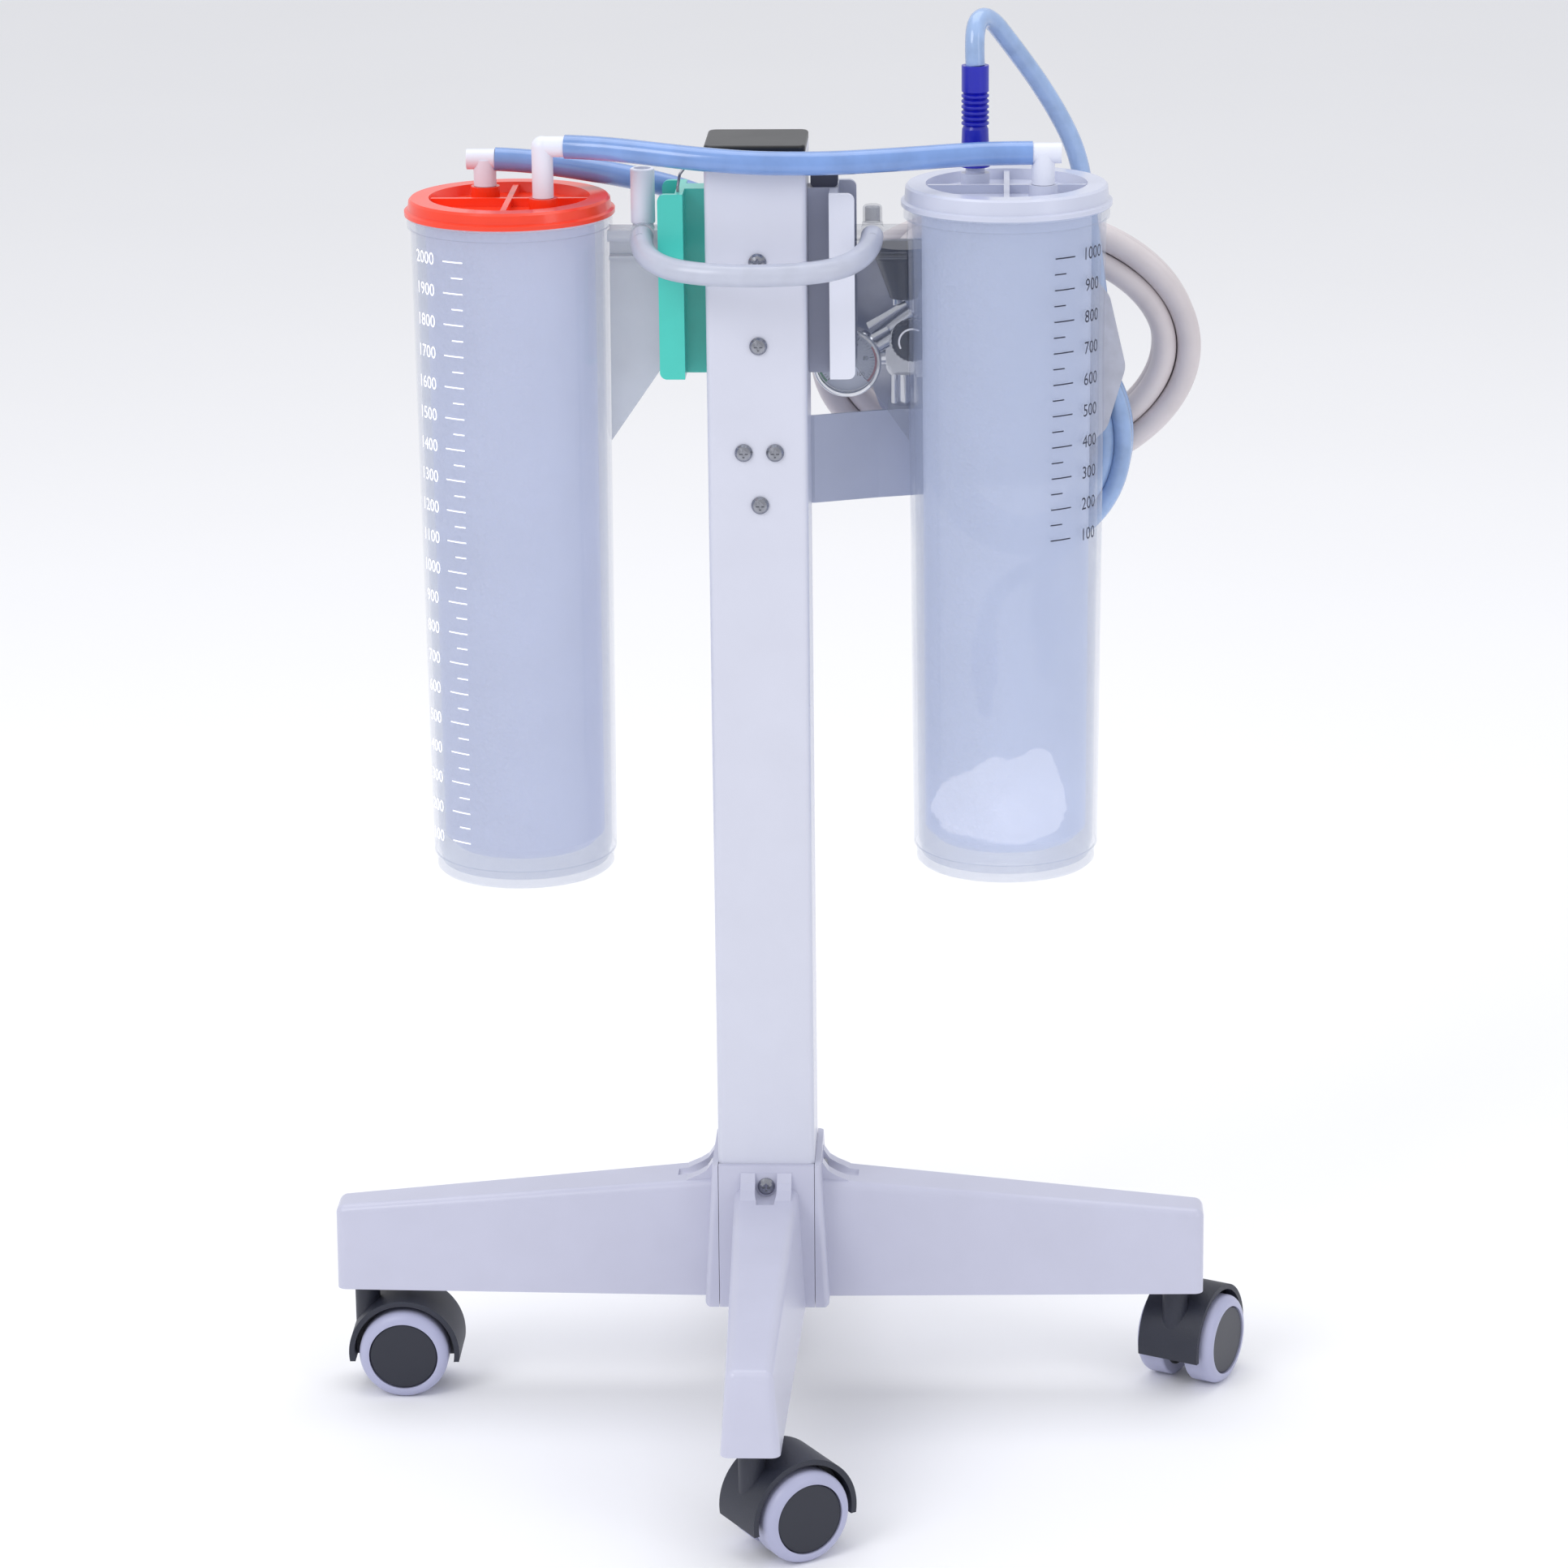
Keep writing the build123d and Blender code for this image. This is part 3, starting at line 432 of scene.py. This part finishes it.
def scale(name, x, low, high, first_z, side, number_at, tick_at, lean, material):
    """A column of numbers and tick marks on a canister, with angles in degrees from the front.

    side is 1 with the ticks to the right of the numbers and -1 with them to the left: short ticks end level with
    long ones on that side. lean turns each step a little further round.
    """
    shapes = []
    for i in range((high - low) // ML_STEP + 1):
        z = first_z + i * MM_STEP
        turn = lean * i
        shapes.append((*glyphs(str(low + ML_STEP * i), NUMERAL_SIZE), number_at + turn, z))
        shapes.append((*bar(LONG_TICK), tick_at + turn, z))
        if low + ML_STEP * i < high:
            shift = degrees((LONG_TICK - SHORT_TICK) / 2 / SHELL_FOOT_R) * side + turn
            shapes.append((*bar(SHORT_TICK), tick_at + shift, z + MM_STEP / 2))
    verts, faces = wrapped(shapes, x)
    piece(name, verts, faces, material, "stand", smooth=False)


scale("left_scale", -CANISTER_X, 100, 2000, 331.0, 1, -57.5, -35.5, 0.35, print_white)
scale("right_scale", CANISTER_X, 100, 1000, 499.0, -1, 54.0, 32.5, 0.2, print_dark)

# ---- gauge and knob -----------------------------------------------------
GX, GZ = 45.5, 577.5
DIAL_Y, FACE_Y = 41.85, 41.92     # the print lies just in front of the face
DIAL_R, TICKS_R, NUMBERS_R = 16.3, 14.6, 10.0
BAND_INNER, BAND_OUTER = 14.9, 16.1
DIAL_DIVISIONS, PER_NUMBER, VALUE_STEP = 40, 8, 20


def flat(shapes, y):
    """Flat shapes, each (points, faces, x, z, turn), on an upright plane that faces the front."""
    verts, faces = [], []
    for points, links, x, z, a in shapes:
        start = len(verts)
        for u, v in points:
            verts.append(((x + u * cos(a) - v * sin(a)) * MM, y * MM, (z + u * sin(a) + v * cos(a)) * MM))
        faces += [tuple(start + i for i in f) for f in links]
    return verts, faces


def dial_angle(share):
    """Screen angle of a share of the dial, running clockwise from the lower left."""
    return radians(225 - 270 * share)


marks = []
for i in range(DIAL_DIVISIONS + 1):
    a = dial_angle(i / DIAL_DIVISIONS)
    long, thick = (2.4, 0.35) if i % PER_NUMBER == 0 else (1.3, 0.2)
    middle = TICKS_R - long / 2
    marks.append((*bar(long, thick), GX + middle * cos(a), GZ + middle * sin(a), a))
for i in range(DIAL_DIVISIONS // PER_NUMBER + 1):
    a = dial_angle(i * PER_NUMBER / DIAL_DIVISIONS)
    marks.append((*glyphs(str(VALUE_STEP * i), 3.3), GX + NUMBERS_R * cos(a), GZ + NUMBERS_R * sin(a), 0.0))
verts, faces = flat(marks, DIAL_Y)
piece("gauge_marks", verts, faces, print_dark, "stand", smooth=False)


def band(name, centre, y, angles, inner, outer, steps, material, body):
    """A flat ring sector between two screen angles, in radians."""
    first, last = angles
    points = []
    for i in range(steps + 1):
        a = first + (last - first) * i / steps
        points += [(inner * cos(a), inner * sin(a)), (outer * cos(a), outer * sin(a))]
    links = [(2 * i, 2 * i + 2, 2 * i + 3, 2 * i + 1) for i in range(steps)]
    verts, faces = flat([(points, links, *centre, 0.0)], y)
    piece(name, verts, faces, material, body, smooth=False)


for name, start, end, paint in (("gauge_band_low", 0.0, 0.3, arc_green),
                                ("gauge_band_high", 0.72, 1.0, arc_red)):
    band(name, (GX, GZ), DIAL_Y, (dial_angle(start), dial_angle(end)), BAND_INNER, BAND_OUTER, 40, paint,
         "stand")
verts, faces = spun([(0.01, FACE_Y), (DIAL_R, FACE_Y)], (GX, GZ))
piece("gauge_face", verts, faces, dial_white, "stand", smooth=False)

KX, KZ = 80.5, 587.5
FLUTES, FLUTE_DEPTH = 30, 0.035
FLUTED_FROM, FLUTED_TO = 44.5, 52.45
grip = [(0.01, 43.4), (8.6, 43.4), (10.2, 43.8), (10.9, 44.8), (11.4, 46.0), (11.4, 51.6), (10.9, 52.4),
        (3.0, 52.5), (3.0, 58.5)]


def flute(angle, depth):
    """What the knob's radius is multiplied by, so that its side is fluted."""
    if FLUTED_FROM < depth < FLUTED_TO:
        return 1.0 - FLUTE_DEPTH * (0.5 + 0.5 * cos(FLUTES * angle))
    return 1.0


verts, faces = spun(grip, (KX, KZ), 240, flute)
knob = piece("knob_grip", verts, faces, black, "knob")
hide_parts("regulator_knob")
band("knob_mark", (KX, KZ), 43.3, (radians(60), radians(210)), 6.6, 7.6, 24, print_white,
     "knob")

# ---- sachet at the bottom of the right liner ----------------------------
SACHET_Z, LINER_FLOOR = 334, 320.5
HALF_X, HALF_Y, HALF_Z = 34, 30, 30
ball = bmesh.new()
bmesh.ops.create_icosphere(ball, subdivisions=5, radius=1.0)
for v in ball.verts:
    p = v.co.copy()
    crumple = 1.0 + 0.30 * noise.noise(p * 1.7) + 0.16 * abs(noise.noise(p * 4.1)) + 0.05 * noise.noise(p * 9.0)
    flatten = 1.0 if p.z > 0 else 0.35
    v.co = Vector((p.x * HALF_X, p.y * HALF_Y, p.z * HALF_Z * flatten)) * crumple
    v.co.z += 12 * max(0.0, p.x) * max(0.0, p.z)
verts = [((CANISTER_X + v.co.x) * MM, (SHELL_Y + v.co.y) * MM, max(v.co.z + SACHET_Z, LINER_FLOOR) * MM)
         for v in ball.verts]
faces = [tuple(v.index for v in f.verts) for f in ball.faces]
ball.free()
piece("gel_sachet", verts, faces, sachet, "stand")

# ---- floor and light ----------------------------------------------------
HALF_FLOOR = 14.0
floor_mesh = bpy.data.meshes.new("floor")
floor_corners = [(x * HALF_FLOOR, y * HALF_FLOOR, 0) for x, y in ((-1, -1), (1, -1), (1, 1), (-1, 1))]
floor_mesh.from_pydata(floor_corners, [], [(0, 1, 2, 3)])
floor_mesh.materials.append(finish("floor_white", linear(252, 252, 254), 0.7, vary=0.004, grain=2, bump=0.02))
floor = bpy.data.objects.new("floor", floor_mesh)
bpy.context.scene.collection.objects.link(floor)


def softbox(name, at, aim, size, power, tint=(1, 1, 1)):
    """A soft rectangular lamp at a place, turned to another."""
    data = bpy.data.lights.new(name, "AREA")
    data.shape = "RECTANGLE"
    data.size, data.size_y = size
    data.energy = power
    data.color = tint
    o = bpy.data.objects.new(name, data)
    o.location = at
    o.rotation_euler = (Vector(aim) - Vector(at)).to_track_quat("-Z", "Y").to_euler()
    bpy.context.scene.collection.objects.link(o)


softbox("key", (-1.6, -2.0, 2.4), (0, 0, 0.4), (1.4, 1.4), 26)
softbox("fill", (2.2, -1.8, 1.5), (0, 0, 0.4), (0.8, 2.0), 8, (0.95, 0.97, 1.0))
softbox("top", (0, 0.6, 3.0), (0, 0, 0.3), (2.5, 2.0), 26)
bpy.context.scene.view_settings.view_transform = "Standard"
world = bpy.data.worlds.new("world")
bpy.context.scene.world = world
world.use_nodes = True
world.node_tree.nodes["Background"].inputs["Color"].default_value = (0.96, 0.97, 1.0, 1.0)
world.node_tree.nodes["Background"].inputs["Strength"].default_value = 0.78
